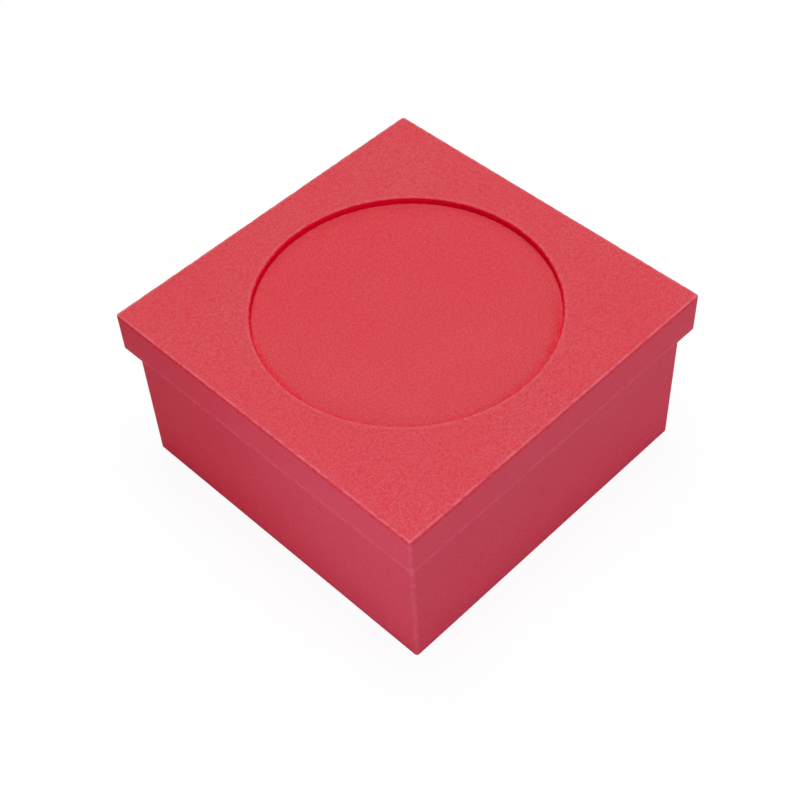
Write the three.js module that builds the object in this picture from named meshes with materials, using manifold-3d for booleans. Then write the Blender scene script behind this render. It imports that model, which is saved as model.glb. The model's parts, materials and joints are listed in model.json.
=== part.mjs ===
// A square keepsake box of painted fibreboard with a lift-off lid.
// Millimetres, +Z up. The origin is the centre of the underside, the front faces -Y and the left side -X.
// Boards of one sheet thickness are butt jointed, pinned, and sanded to a common outside with eased edges.

import * as THREE from "three";
import { mergeVertices } from "three/addons/utils/BufferGeometryUtils.js";
import Module from "manifold-3d";

// Driving dimensions: boards
const SHEET = 3.0; // thickness of every board
const BOX_SIDE = 162.0; // outside width and depth of the walls
const BOX_HEIGHT = 81.0; // underside of the base to the top edge of the walls
const LID_PLAY = 1.0; // gap all round between the walls and the lid's rim
const RIM_DEPTH = 14.0; // how far the rim hangs below the lid panel
const RECESS_DIAMETER = 129.0; // round window in the lid's face board

// Driving dimensions: sanded edges
const BOX_CORNER_RADIUS = 1.6; // upright edges of the box
const BOX_EDGE_RADIUS = 0.8; // outer bottom and top edges of the box
const LID_CORNER_RADIUS = 1.3; // upright edges of the lid
const LID_EDGE_RADIUS = 0.6; // outer top and bottom edges of the lid
const LIP_RADIUS = 0.5; // edge of the recess

// Driving dimensions: headless micro pins, square in section
const PIN_WIDTH = 0.64;
const PIN_LENGTH = 12.0;
const PIN_SET = 0.6; // how far the pin's end is driven below the board's outer face, then filled
const WALL_PIN_INSET = 15.0; // corner pins, from the lower and upper edge of a wall
const BASE_PIN_INSET = 30.0; // base and lid pins, from the box's outside corner

// Facets along the curved faces, where a pair is two facets
const CORNER_FACET_PAIRS = 3; // each upright corner
const EDGE_FACETS = 4; // each eased level edge
const LIP_FACET_PAIRS = 2; // across the recess's lip
const RECESS_FACET_PAIRS = 48; // round the recess

// Sizes that follow from the driving dimensions
const boxHalf = BOX_SIDE / 2;
const rimInnerHalf = boxHalf + LID_PLAY;
const lidHalf = rimInnerHalf + SHEET;
const wallMiddle = boxHalf - SHEET / 2;
const rimMiddle = lidHalf - SHEET / 2;
const faceTop = 2 * SHEET;
const recessRadius = RECESS_DIAMETER / 2;
const allowance = SHEET; // blanks run this far past the outside, and are sanded back to it

const PAINT = { color: 0xd4404e, roughness: 0.72, metalness: 0.0 };
const PIN_STEEL = { color: 0xa7a9a6, roughness: 0.35, metalness: 1.0 };

const wasm = await Module();
wasm.setup();

function solidFrom(geometry) {
  geometry.deleteAttribute("normal");
  geometry.deleteAttribute("uv");
  const merged = mergeVertices(geometry);
  return new wasm.Manifold(
    new wasm.Mesh({
      numProp: 3,
      vertProperties: merged.getAttribute("position").array,
      triVerts: Uint32Array.from(merged.getIndex().array),
    }),
  );
}

function geometryFrom(solid) {
  const { vertProperties, triVerts } = solid.getMesh();
  const geometry = new THREE.BufferGeometry();
  geometry.setAttribute("position", new THREE.BufferAttribute(vertProperties, 3));
  geometry.setIndex(new THREE.BufferAttribute(triVerts, 1));
  geometry.computeVertexNormals();
  return geometry;
}

function meshOf(name, solid, finish) {
  const mesh = new THREE.Mesh(geometryFrom(solid), new THREE.MeshStandardMaterial(finish));
  mesh.name = name;
  return mesh;
}

// A block between two values on each axis.
function block([x0, x1], [y0, y1], [z0, z1]) {
  const geometry = new THREE.BoxGeometry(x1 - x0, y1 - y0, z1 - z0);
  geometry.translate((x0 + x1) / 2, (y0 + y1) / 2, (z0 + z1) / 2);
  return solidFrom(geometry);
}

// The outside that glued boards are sanded to: a square block with eased upright and level edges.
function sandedOutside(half, [bottom, top], cornerRadius, edgeRadius) {
  const flat = half - cornerRadius;
  const outline = new THREE.Shape();
  outline.absarc(flat, -flat, cornerRadius, -Math.PI / 2, 0);
  outline.absarc(flat, flat, cornerRadius, 0, Math.PI / 2);
  outline.absarc(-flat, flat, cornerRadius, Math.PI / 2, Math.PI);
  outline.absarc(-flat, -flat, cornerRadius, Math.PI, 1.5 * Math.PI);
  outline.closePath();
  const geometry = new THREE.ExtrudeGeometry(outline, {
    depth: top - bottom - 2 * edgeRadius,
    curveSegments: CORNER_FACET_PAIRS,
    bevelThickness: edgeRadius,
    bevelSize: edgeRadius,
    bevelOffset: -edgeRadius,
    bevelSegments: EDGE_FACETS,
  });
  geometry.translate(0, 0, bottom + edgeRadius);
  return solidFrom(geometry);
}

// The round cutter for the window in the face board, flared at the top to ease the recess's lip.
function windowCutter() {
  const profile = new THREE.Path();
  profile.moveTo(0, SHEET - allowance);
  profile.lineTo(recessRadius, SHEET - allowance);
  profile.absarc(recessRadius + LIP_RADIUS, faceTop - LIP_RADIUS, LIP_RADIUS, Math.PI, Math.PI / 2, true);
  profile.lineTo(recessRadius + LIP_RADIUS, faceTop + allowance);
  profile.lineTo(0, faceTop + allowance);
  const geometry = new THREE.LatheGeometry(profile.getPoints(LIP_FACET_PAIRS), 2 * RECESS_FACET_PAIRS);
  geometry.rotateX(Math.PI / 2);
  return solidFrom(geometry);
}

// The blank of the lid panel, with the recess floor marked off on it as a face of its own.
function lidPanelBlank(square) {
  const outline = new THREE.Shape();
  outline.absarc(0, 0, recessRadius, 0, 2 * Math.PI);
  const underRecess = solidFrom(
    new THREE.ExtrudeGeometry(outline, {
      depth: SHEET,
      curveSegments: RECESS_FACET_PAIRS,
      bevelEnabled: false,
    }),
  );
  return block(square, square, [0, SHEET]).subtract(underRecess).add(underRecess);
}

// The width of a micro pin either side of its middle.
const pinAcross = (middle) => [middle - PIN_WIDTH / 2, middle + PIN_WIDTH / 2];

// A pin driven through a front or back board into the end of a side board.
function pinAlongY(x, side, outerFace, z) {
  const head = outerFace - PIN_SET;
  const span = [side * head, side * (head - PIN_LENGTH)].sort((a, b) => a - b);
  return block(pinAcross(x), span, pinAcross(z));
}

// A pin driven through a flat board into the edge of an upright one.
function pinAlongZ(x, y, span) {
  return block(pinAcross(x), pinAcross(y), span);
}

// Four upright boards round a square: front and back run full width, left and right stand between them.
function frameBoards(names, outerHalf, levels) {
  const proud = outerHalf + allowance;
  const joint = outerHalf - SHEET;
  const fullWidth = [-proud, proud];
  const between = [-joint, joint];
  return {
    [names.front]: block(fullWidth, [-proud, -joint], levels),
    [names.back]: block(fullWidth, [joint, proud], levels),
    [names.left]: block([-proud, -joint], between, levels),
    [names.right]: block([joint, proud], between, levels),
  };
}

// Two pins in each of four frame boards, driven along Z through the flat board that closes the frame.
function framePins(prefix, middle, span) {
  const place = boxHalf - BASE_PIN_INSET;
  const pins = {};
  for (const [side, sign] of [["front", -1], ["back", 1]]) {
    pins[`${prefix}_${side}_left`] = pinAlongZ(-place, sign * middle, span);
    pins[`${prefix}_${side}_right`] = pinAlongZ(place, sign * middle, span);
  }
  for (const [side, sign] of [["left", -1], ["right", 1]]) {
    pins[`${prefix}_${side}_front`] = pinAlongZ(sign * middle, -place, span);
    pins[`${prefix}_${side}_back`] = pinAlongZ(sign * middle, place, span);
  }
  return pins;
}

// Pins through the front and back boards of a frame into the ends of its side boards, at named heights.
function cornerPins(prefix, outerHalf, middle, heights) {
  const pins = {};
  for (const [depth, ySign] of [["front", -1], ["back", 1]]) {
    for (const [width, xSign] of [["left", -1], ["right", 1]]) {
      for (const [level, z] of heights) {
        pins[`${prefix}_${depth}_${width}${level}`] = pinAlongY(xSign * middle, ySign, outerHalf, z);
      }
    }
  }
  return pins;
}

// A group of boards, each sanded to the outside and bored for the pins that enter it, with the pins.
function pinnedAssembly(boards, pins, outside) {
  const group = new THREE.Group();
  for (const [name, raw] of Object.entries(boards)) {
    let board = raw.intersect(outside);
    for (const pin of Object.values(pins)) {
      board = board.subtract(pin);
    }
    group.add(meshOf(name, board, PAINT));
  }
  for (const [name, pin] of Object.entries(pins)) {
    group.add(meshOf(name, pin, PIN_STEEL));
  }
  return group;
}

// The box: a base panel under four walls.
function makeBox() {
  const proud = boxHalf + allowance;
  const wallNames = { front: "front_wall", back: "back_wall", left: "left_wall", right: "right_wall" };
  const wallTop = BOX_HEIGHT + allowance;
  const boards = {
    base_panel: block([-proud, proud], [-proud, proud], [-allowance, SHEET]),
    ...frameBoards(wallNames, boxHalf, [SHEET, wallTop]),
  };
  const wallPinHeights = [
    ["_low", SHEET + WALL_PIN_INSET],
    ["_high", BOX_HEIGHT - WALL_PIN_INSET],
  ];
  const pins = {
    ...cornerPins("corner_pin", boxHalf, wallMiddle, wallPinHeights),
    ...framePins("base_pin", wallMiddle, [PIN_SET, PIN_SET + PIN_LENGTH]),
  };
  const outside = sandedOutside(boxHalf, [0, BOX_HEIGHT], BOX_CORNER_RADIUS, BOX_EDGE_RADIUS);
  return pinnedAssembly(boards, pins, outside);
}

// The lid, with Z from the underside of its panel: rim below, panel, and the face board with its window.
function makeLid() {
  const proud = lidHalf + allowance;
  const square = [-proud, proud];
  const rimNames = {
    front: "lid_rim_front",
    back: "lid_rim_back",
    left: "lid_rim_left",
    right: "lid_rim_right",
  };
  const boards = {
    ...frameBoards(rimNames, lidHalf, [-RIM_DEPTH - allowance, 0]),
    lid_panel: lidPanelBlank(square),
    lid_face_board: block(square, square, [SHEET, faceTop + allowance]).subtract(windowCutter()),
  };
  const pins = {
    ...cornerPins("rim_pin", lidHalf, rimMiddle, [["", -RIM_DEPTH / 2]]),
    ...framePins("lid_pin", rimMiddle, [SHEET - PIN_SET - PIN_LENGTH, SHEET - PIN_SET]),
  };
  const outside = sandedOutside(lidHalf, [-RIM_DEPTH, faceTop], LID_CORNER_RADIUS, LID_EDGE_RADIUS);
  return pinnedAssembly(boards, pins, outside);
}

const lid = makeLid();
lid.position.z = BOX_HEIGHT; // the lid panel rests on the top edges of the walls

const keepsakeBox = new THREE.Group();
keepsakeBox.add(makeBox(), lid);

export default keepsakeBox;
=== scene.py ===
"""Looks of a square keepsake box of painted fibreboard with a lift-off lid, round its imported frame.

Lengths are in metres in the frame's own axes: +Z is up, the front wall faces -Y and the left wall -X.
"""

import json
import math
from typing import NamedTuple

import bmesh
import bpy
from bpy.props import FloatProperty, FloatVectorProperty, PointerProperty
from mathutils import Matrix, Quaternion, Vector, noise


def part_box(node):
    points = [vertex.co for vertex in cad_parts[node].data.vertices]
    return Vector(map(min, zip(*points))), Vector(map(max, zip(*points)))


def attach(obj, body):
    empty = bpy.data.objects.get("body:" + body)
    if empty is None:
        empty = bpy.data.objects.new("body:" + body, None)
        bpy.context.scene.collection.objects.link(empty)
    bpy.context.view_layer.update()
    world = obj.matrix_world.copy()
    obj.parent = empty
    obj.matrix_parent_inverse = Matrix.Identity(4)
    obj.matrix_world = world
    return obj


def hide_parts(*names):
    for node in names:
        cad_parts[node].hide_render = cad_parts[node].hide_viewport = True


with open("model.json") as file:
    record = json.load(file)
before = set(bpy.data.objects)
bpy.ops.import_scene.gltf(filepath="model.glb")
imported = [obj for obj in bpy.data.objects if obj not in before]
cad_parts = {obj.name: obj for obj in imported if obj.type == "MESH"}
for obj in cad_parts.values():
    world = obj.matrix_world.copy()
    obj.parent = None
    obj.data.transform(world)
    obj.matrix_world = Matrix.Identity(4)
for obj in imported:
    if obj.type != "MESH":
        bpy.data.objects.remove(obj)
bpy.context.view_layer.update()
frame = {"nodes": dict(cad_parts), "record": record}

bl_info = {
    "name": "Painted keepsake box",
    "version": (1, 0, 0),
    "blender": (4, 5, 0),
    "location": "3D View > Sidebar > Keepsake box",
    "description": "Boards, paint, pins and studio of a fibreboard box with a lift-off lid",
    "category": "Add Mesh",
}

MM = 0.001
WHITE = (1, 1, 1, 1)

# Sizes read from the frame
BOX_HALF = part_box("base_panel")[1].x
BOX_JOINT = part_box("left_wall")[1].y
BASE_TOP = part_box("base_panel")[1].z
BOX_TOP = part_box("front_wall")[1].z
LID_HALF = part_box("lid_panel")[1].x
LID_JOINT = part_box("lid_rim_left")[1].y
RIM_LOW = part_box("lid_rim_front")[0].z
RIM_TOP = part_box("lid_rim_front")[1].z
RECESS_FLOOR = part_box("lid_panel")[1].z
LID_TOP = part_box("lid_face_board")[1].z
RECESS_RADIUS = min(v.co.xy.length for v in frame["nodes"]["lid_face_board"].data.vertices)
PIN_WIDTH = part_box("base_pin_front_left")[1].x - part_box("base_pin_front_left")[0].x

# Points round a corner, round an eased edge and along a panel's side, and the share of it they cover
CORNER_STEPS = 8
EASE_STEPS = 6
OUTLINE_STEPS = 240
STRAIGHT_SHARE = 0.98

# Distance between points along an upright board
STATION_SPACING = 4.0 * MM

# Rows across flat faces, as shares of the way, and how far from an edge a row keeps the face flat
DISC_SHARES = (0.85, 0.6, 0.36, 0.12)
TOP_SHARES = (0.0, 0.25, 0.5, 0.75, 1.0)
SUPPORT = 0.5 * MM

# Corner radius of the line where a glued joint ends inside the box
INNER_CORNER = 0.3 * MM

# Edges that turn more than this stay sharp
SHARP_ANGLE = math.radians(38)

# Parts of a face's normal: enough to look along an axis, and too little to look up or down
SQUARE_ON = 0.9
SIDEWAYS = 0.6

# Small shapes left by sanding and sawing, and the share of a tear that is left where tears are least
INNER_FADE = 2.5 * MM
TEAR_LENGTH = 1.8 * MM
LEAST_TEAR = 0.35
NICK_LENGTH = 2.0 * MM

# How far rubbed paint with its painted highlight and gathered paint reach from their edges, and how
# far up the walls the painted shade at their foot reaches
RUBBED_BAND = 0.9 * MM
GATHERED_BAND = 1.8 * MM
RIM_BAND = (1.5 * MM, 3.6 * MM)
LIP_BAND = (0.45 * MM, 1.8 * MM)
WALL_FADE = 45.0 * MM

# Wear of the paint at the foot and at the top of the lip's round
LIP_WEAR = (-1.7, 0.1)

# Paint in the recess: the bead in its corner, and a band of painted shadow beside it, cast by the front
# lip and wider at the front
FOOT_BEAD = 0.6 * MM
LIP_SHADOW_BAND = (1.5 * MM, 3.5 * MM)
LIP_SHADOW_SHIFT = Vector((0, 1.1 * MM))

# Directions in plan: towards which the recess floor is drawn deeper red, where the front lip's painted
# shadow falls, and across the line of sight, where the lip's painted shade is deepest
DEEPENS_TOWARDS = Vector((1, 2)).normalized()
LIP_SHADOW_TOWARDS = Vector((-3, -4)).normalized()
ACROSS_SIGHT_LINE = Vector((-1, 1)).normalized()

# How steeply the front lip's painted shadow deepens from the ends of its half of the edge
LIP_SHADOW_SPREAD = 3.2

# Heights over the recess floor between which the scorch and the painted shade at the foot of the cut
# edge clear, and how far that line wanders
FOOT_SHADE_BAND = (0.6 * MM, 2.2 * MM)
FOOT_SHADE_WANDER = 0.9 * MM

# Places along the left side between which its painted shade deepens towards the back, and normals that
# belong to that side
LEFT_SHADE_SPAN = (-50.0 * MM, 50.0 * MM)
LEFT_SHADE_FACING = (-0.6, -0.9)

# Upward parts of a normal between which the stipple grows to its full depth
UP_FACING = (0.2, 0.9)

# Pattern sizes of the finishes; fibres and draw lines are finer in truth, and drawn this coarse to show
STIPPLE = 0.816 * MM
CLOUD = 38.0 * MM
RUB_PATCH = 2.6 * MM
CHIP = 1.6 * MM
FIBRE = 0.5 * MM
WIRE_LINE = 0.06 * MM

# Parts of a noise's range that are drawn out into a pattern
NOISE_RANGE = (0.3, 0.7)
STIPPLE_RANGE = (0.34, 0.66)
FELT_RANGE = (0.35, 0.65)
CRISP_RANGE = (0.36, 0.64)

# What the patterns give: depth of clouds, unevenness of rubbed and of gathered paint, and roughness
CLOUD_DEPTH = 0.3
RUB_SPREAD = (0.1, 1.35)
GATHER_SPREAD = (0.4, 1.7)
PAINT_ROUGHNESS = (0.82, 0.7)
WIRE_ROUGHNESS = (0.25, 0.45)

# Sockets of a Mix node, by number because their names repeat
FACTOR, FIRST, SECOND, FIRST_COLOUR, SECOND_COLOUR = (0, 2, 3, 6, 7)
MIXED, MIXED_COLOUR = (0, 2)

# Material slots on every board
BARE, PAINTED, CUT_EDGE = range(3)

# Which way along and outwards point for a board on each side of the box
SIDES = {
    "front": (Vector((1, 0)), Vector((0, -1))),
    "back": (Vector((1, 0)), Vector((0, 1))),
    "left": (Vector((0, 1)), Vector((-1, 0))),
    "right": (Vector((0, 1)), Vector((1, 0))),
}

# The floor lies just under the box
FLOOR_HALF = 4.0
FLOOR_STEPS = 8
FLOOR_GAP = 0.1 * MM

# Light on the open floor, the share of its white that can be shaded, and where the shadow fades out
FLOOR_LIGHT = 0.92
SHADOW_SHARE = 0.09
SHADOW_REACH = (0.22, 0.6)

# The camera's sensor in millimetres, and how near and far it sees
SENSOR_WIDTH = 36.0
SIGHT = (0.01, 20.0)


def linear(hex_colour):
    """Linear red, green and blue of an sRGB hex colour."""
    channels = [int(hex_colour[i:i + 2], 16) / 255 for i in (0, 2, 4)]
    return tuple(c / 12.92 if c <= 0.04045 else ((c + 0.055) / 1.055) ** 2.4 for c in channels)


class Lamp(NamedTuple):
    """A square lamp: where it hangs, how wide it is, its colour, and which setting holds its power."""

    place: tuple
    width: float
    tint: tuple
    power: str


LAMPS = {
    "overhead_softbox": Lamp((0.05, 0.05, 1.6), 0.8, linear("FFFBF4"), "softbox_power"),
    "right_fill": Lamp((0.35, -0.55, 0.3), 0.4, linear("D2CEFF"), "right_power"),
    "corner_fill": Lamp((-0.45, -0.5, 0.22), 0.25, linear("D2CEFF"), "corner_power"),
    "left_fill": Lamp((-0.25, -0.06, 0.12), 0.16, linear("D4CEFF"), "left_power"),
    "back_fill": Lamp((0.6, 0.9, 0.7), 0.8, linear("FFFFFF"), "back_power"),
}


# Settings that a user would change

class BoxSizes(bpy.types.PropertyGroup):
    """Sanded, torn and nicked edges of the boards"""

    box_corner: FloatProperty(
        name="Box corners", description="Radius of the box's upright edges",
        default=1.6 * MM, unit="LENGTH")
    box_ease: FloatProperty(
        name="Box edges", description="Radius of the box's outer bottom and top edges",
        default=0.8 * MM, unit="LENGTH")
    lid_corner: FloatProperty(
        name="Lid corners", description="Radius of the lid's upright edges",
        default=1.3 * MM, unit="LENGTH")
    lid_ease: FloatProperty(
        name="Lid edges", description="Radius of the lid's outer top and bottom edges",
        default=0.6 * MM, unit="LENGTH")
    lip_ease: FloatProperty(
        name="Recess lip", description="Radius of the edge of the round recess",
        default=0.5 * MM, unit="LENGTH")
    inner_ease: FloatProperty(
        name="Inner edges", description="How far the inner edges of walls and rim are rubbed back",
        default=0.3 * MM, unit="LENGTH")
    wander: FloatProperty(
        name="Hand sanding", description="Share by which hand sanding varies an edge's radius",
        default=0.16, subtype="FACTOR")
    wander_length: FloatProperty(
        name="Sanding stroke", description="Length over which a sanded edge varies",
        default=17.0 * MM, unit="LENGTH")
    lip_tear: FloatProperty(
        name="Torn fibre", description="How far torn fibres stand off the recess's lip at most",
        default=0.25 * MM, unit="LENGTH")
    edge_nick: FloatProperty(
        name="Nicks", description="How deep the lid's top edge is nicked at most",
        default=0.45 * MM, unit="LENGTH")


class BoxFinish(bpy.types.PropertyGroup):
    """Colours of paint, bare board and pins; rubbed and thick paint, and painted highlight, shade and
    shadow
    """

    paint: FloatVectorProperty(
        name="Paint", description="Matte red paint on the peaks of its stipple",
        default=linear("D95B60"), size=3, subtype="COLOR", min=0, max=1)
    paint_hollow: FloatVectorProperty(
        name="Paint in hollows", description="The same paint in the hollows of its stipple",
        default=linear("D83F4B"), size=3, subtype="COLOR", min=0, max=1)
    # Rubbed paint, which also stands for a painted highlight along the lid's edges and the upright
    # edges
    paint_rubbed_and_highlight: FloatVectorProperty(
        name="Rubbed paint", description="Paint that handling has rubbed pale along an edge",
        default=linear("DB7074"), size=3, subtype="COLOR", min=0, max=1)
    # Gathered paint, which also stands for painted shade at the walls' foot, on the lip and towards the
    # back of the left side, and for the front lip's painted shadow
    paint_gathered_and_shade: FloatVectorProperty(
        name="Gathered paint", description="Paint lying thick along edges and round the recess",
        default=linear("DE1430"), size=3, subtype="COLOR", min=0, max=1)
    # Soaked paint, which also holds painted shade on the cut edge of the recess
    paint_soaked_and_shade: FloatVectorProperty(
        name="Soaked paint", description="Paint soaked into the cut edge of the recess",
        default=linear("E50228"), size=3, subtype="COLOR", min=0, max=1)
    # Scorch, which also holds painted shade at the foot of the cut edge, in the recess's inner corner
    paint_scorched_and_shade: FloatVectorProperty(
        name="Scorched edge",
        description="The same paint where the cutter scorched the foot of that edge",
        default=linear("CD002C"), size=3, subtype="COLOR", min=0, max=1)
    board: FloatVectorProperty(
        name="Bare fibreboard", description="Unpainted board in the glued joints",
        default=linear("B08A5E"), size=3, subtype="COLOR", min=0, max=1)
    board_fibre: FloatVectorProperty(
        name="Fibres", description="Darker fibres in the bare board",
        default=linear("8A6540"), size=3, subtype="COLOR", min=0, max=1)
    pin: FloatVectorProperty(
        name="Pin steel", description="Bright drawn steel wire",
        default=linear("C4C5C2"), size=3, subtype="COLOR", min=0, max=1)
    # The top, upright and rim edges hold rubbed wear and also a painted highlight in this pale paint
    top_rub_and_highlight: FloatProperty(
        name="Top edges", description="How far the paint is rubbed along the lid's top edges",
        default=1.0, subtype="FACTOR")
    corner_rub_and_highlight: FloatProperty(
        name="Upright edges", description="How far the paint is rubbed along the upright edges",
        default=0.32, subtype="FACTOR")
    rim_rub_and_highlight: FloatProperty(
        name="Rim edges", description="How far the paint is rubbed along the lid's lower edges",
        default=0.3, subtype="FACTOR")
    lip_rub: FloatProperty(
        name="Recess lip", description="How far the paint is rubbed round the lip of the recess",
        default=0.42, subtype="FACTOR")
    wall_rub: FloatProperty(
        name="Wall edges", description="How far the paint is rubbed along the top edges of the walls",
        default=0.5, subtype="FACTOR")
    base_rub: FloatProperty(
        name="Base edges", description="How far the paint is rubbed round the box's lower edge",
        default=0.3, subtype="FACTOR")
    edge_gather: FloatProperty(
        name="Gathered under edges", description="How thick paint lies just under the lid's top edges",
        default=0.5, subtype="FACTOR")
    # Gathered paint in the nicks, which also stands for painted shade there
    nick_gather_and_shade: FloatProperty(
        name="Gathered in nicks", description="How thick paint lies in the nicks of the lid's top edge",
        default=0.6, subtype="FACTOR")
    bead_gather: FloatProperty(
        name="Gathered in the recess",
        description="How thick paint lies in the inner corner of the recess",
        default=0.9, subtype="FACTOR")
    # The recess floor is drawn deeper red towards its back
    floor_deepening: FloatProperty(
        name="Run in the recess",
        description="How thick paint lies where it ran to on the recess floor",
        default=0.2, subtype="FACTOR")
    # Painted shadow that the recess's front lip casts on its floor
    front_lip_shadow: FloatProperty(
        name="Settled on the floor",
        description="How thick paint lies where it settled along the recess",
        default=0.35, subtype="FACTOR")
    # Painted shade on the lip, deepest where the line of sight runs past the recess wall edge-on
    lip_side_shade: FloatProperty(
        name="Left on the lip",
        description="How thick paint lies on the lip where the roller ran past it",
        default=0.8, subtype="FACTOR")
    # Painted shade: the left side is drawn deeper red towards its back
    left_back_shade: FloatProperty(
        name="Thick on the left", description="How thick the coat lies at the back of the left side",
        default=0.3, subtype="FACTOR")
    # Painted shade: the walls are drawn deeper red towards their foot
    wall_foot_shade: FloatProperty(
        name="Gathered at the foot", description="How thick paint lies along the foot of the walls",
        default=0.2, subtype="FACTOR")
    upright_stipple: FloatProperty(
        name="Upright stipple",
        description="Share of the stipple left on upright faces, where paint levels out",
        default=0.45, subtype="FACTOR")


class Studio(bpy.types.PropertyGroup):
    """Camera, lamps and floor"""

    lens: FloatProperty(
        name="Lens", description="Focal length on a 36 mm sensor",
        default=71.04, unit="CAMERA")
    azimuth: FloatProperty(
        name="Azimuth", description="Turn of the camera round the box from the front",
        default=math.radians(-42.89), subtype="ANGLE")
    elevation: FloatProperty(
        name="Elevation", description="Height of the camera above the horizon",
        default=math.radians(49.53), subtype="ANGLE")
    roll: FloatProperty(
        name="Roll", description="Tilt of the camera about its own axis",
        default=math.radians(-3.46), subtype="ANGLE")
    distance: FloatProperty(
        name="Distance", description="From the camera to the point it aims at",
        default=671.2 * MM, unit="LENGTH")
    aim: FloatVectorProperty(
        name="Aim", description="Point in the middle of the picture",
        default=(-14.0 * MM, -7.9 * MM, 45.0 * MM), size=3, unit="LENGTH")
    room: FloatProperty(
        name="Room light", description="Strength of the even light from all round",
        default=0.12)
    softbox_power: FloatProperty(
        name="Softbox power", description="Power of the lamp overhead",
        default=15.7, unit="POWER")
    right_power: FloatProperty(
        name="Right fill power", description="Power of the lamp off the front wall",
        default=1.54, unit="POWER")
    corner_power: FloatProperty(
        name="Corner fill power", description="Power of the lamp off the front left corner",
        default=1.09, unit="POWER")
    left_power: FloatProperty(
        name="Left fill power", description="Power of the small lamp off the left wall",
        default=0.163, unit="POWER")
    back_power: FloatProperty(
        name="Back fill power", description="Power of the lamp behind the box",
        default=4.0, unit="POWER")
    floor: FloatVectorProperty(
        name="Floor", description="Plain pale floor",
        default=linear("DADADA"), size=3, subtype="COLOR", min=0, max=1)


# Outlines in plan

class PlanPoint(NamedTuple):
    """A point of a board's outline: where it is, which way its face looks, and how worn its paint is.

    Above 0 the paint is rubbed pale, with a painted highlight on the lid's and upright edges; below 0
    it lies thick, and also holds painted shade at the walls' foot, on the lip and in the nicks, and the
    front lip's painted shadow.
    """

    place: Vector
    facing: Vector
    worn: float


class Level(NamedTuple):
    """A height up a board: the share of an edge's radius sanded off there, and its paint's wear."""

    height: float
    inset: float
    # This wear also carries painted highlight and painted shade
    worn: float


class BoardFrame(NamedTuple):
    """Four upright boards round a square: what they belong to and how they are cut, sanded and glued.

    The glued side is 1 for boards that are glued at the top, and -1 for boards glued at the foot.
    """

    body: str
    slot: str
    half: float
    joint: float
    corner: float
    ease: float
    levels: list
    glued_side: int


def corner_points(centre, radius, start, turn, worn):
    """Points round a corner, from a starting angle through a turn, worn between its ends."""
    points = []
    for step in range(CORNER_STEPS + 1):
        angle = start + step / CORNER_STEPS * turn
        facing = Vector((math.cos(angle), math.sin(angle)))
        on_edge = worn if 0 < step < CORNER_STEPS else 0.0
        points.append(PlanPoint(centre + facing * radius, facing, on_edge))
    return points


def square_loop(half, corner, worn=0.0):
    """Outline of a square with round corners; every size has the same number of points."""
    flat = half - corner
    loop = []
    for quarter in range(4):
        turn = quarter * math.pi / 2
        along = Vector((-math.sin(turn), math.cos(turn)))
        out = Vector((math.cos(turn), math.sin(turn)))
        for step in range(OUTLINE_STEPS + 1):
            share = STRAIGHT_SHARE * (2 * step / OUTLINE_STEPS - 1)
            loop.append(PlanPoint(out * half + along * (flat * share), out, 0.0))
        loop += corner_points((out + along) * flat, corner, turn, math.pi / 2, worn)
    return loop


def circle_loop(radius, like, worn=0.0):
    """Circle with a point in the direction of each point of another loop, facing the middle."""
    loop = []
    for point in like:
        out = point.place.normalized()
        loop.append(PlanPoint(out * radius, -out, worn))
    return loop


def moved(loop, step):
    """A loop moved in plan."""
    return [PlanPoint(p.place + step, p.facing, p.worn) for p in loop]


def between_loops(first, second, share):
    """Loop part of the way from one loop to another, unworn."""
    return [PlanPoint(a.place.lerp(b.place, share), a.facing, 0.0) for a, b in zip(first, second)]


def stations(half_length):
    """Even stations along a board, either side of its middle."""
    steps = round(2 * half_length / STATION_SPACING)
    return [half_length * (2 * step / steps - 1) for step in range(steps + 1)]


def full_width_plan(cut, worn):
    """Outer and inner outline of a board that runs round both corners, as along and outwards."""
    centre = Vector((cut.corner - cut.half, cut.half - cut.corner))
    turn = [
        PlanPoint(Vector((-cut.half, cut.joint)), Vector((-1, 0)), 0.0),
        *corner_points(centre, cut.corner, math.pi, -math.pi / 2, worn),
    ]
    far_turn = [
        PlanPoint(Vector((-p.place.x, p.place.y)), Vector((-p.facing.x, p.facing.y)), p.worn)
        for p in reversed(turn)
    ]
    middle = stations(cut.joint)
    face = [PlanPoint(Vector((u, cut.half)), Vector((0, 1)), 0.0) for u in middle]
    lap = cut.half - cut.joint
    ends = [-cut.half + lap * index / len(turn) for index in range(len(turn))]
    inner_stations = [*ends, *middle, *(-u for u in reversed(ends))]
    inner = [PlanPoint(Vector((u, cut.joint)), Vector((0, -1)), 0.0) for u in inner_stations]
    return [*turn, *face, *far_turn], inner


def between_plan(cut):
    """Outer and inner outline of a board that stands between two others, as along and outwards."""
    run = stations(cut.joint)
    outer = [PlanPoint(Vector((u, cut.half)), Vector((0, 1)), 0.0) for u in run]
    inner = [PlanPoint(Vector((u, cut.joint)), Vector((0, -1)), 0.0) for u in run]
    return outer, inner


def turned(plan, along, out):
    """An outline turned from along and outwards to the frame's axes."""
    return [
        PlanPoint(along * p.place.x + out * p.place.y, along * p.facing.x + out * p.facing.y, p.worn)
        for p in plan
    ]


def eased_levels(edge, radius, upwards, wear, darkest=0.0):
    """Levels round an eased edge, from the upright face to the flat one, with the wear at those faces.

    Where the wear falls below 0 the paint is drawn deeper red, for thick paint and, at the box's foot,
    for painted shade, but no deeper than the darkest.
    """
    levels = []
    for step in range(EASE_STEPS + 1):
        turn = step / EASE_STEPS
        drop = radius * (1 - math.sin(turn * math.pi / 2))
        height = edge - drop if upwards else edge + drop
        worn = max(-darkest, wear[0] + (wear[1] - wear[0]) * turn)
        levels.append(Level(height, 1 - math.cos(turn * math.pi / 2), worn))
    return levels


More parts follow.
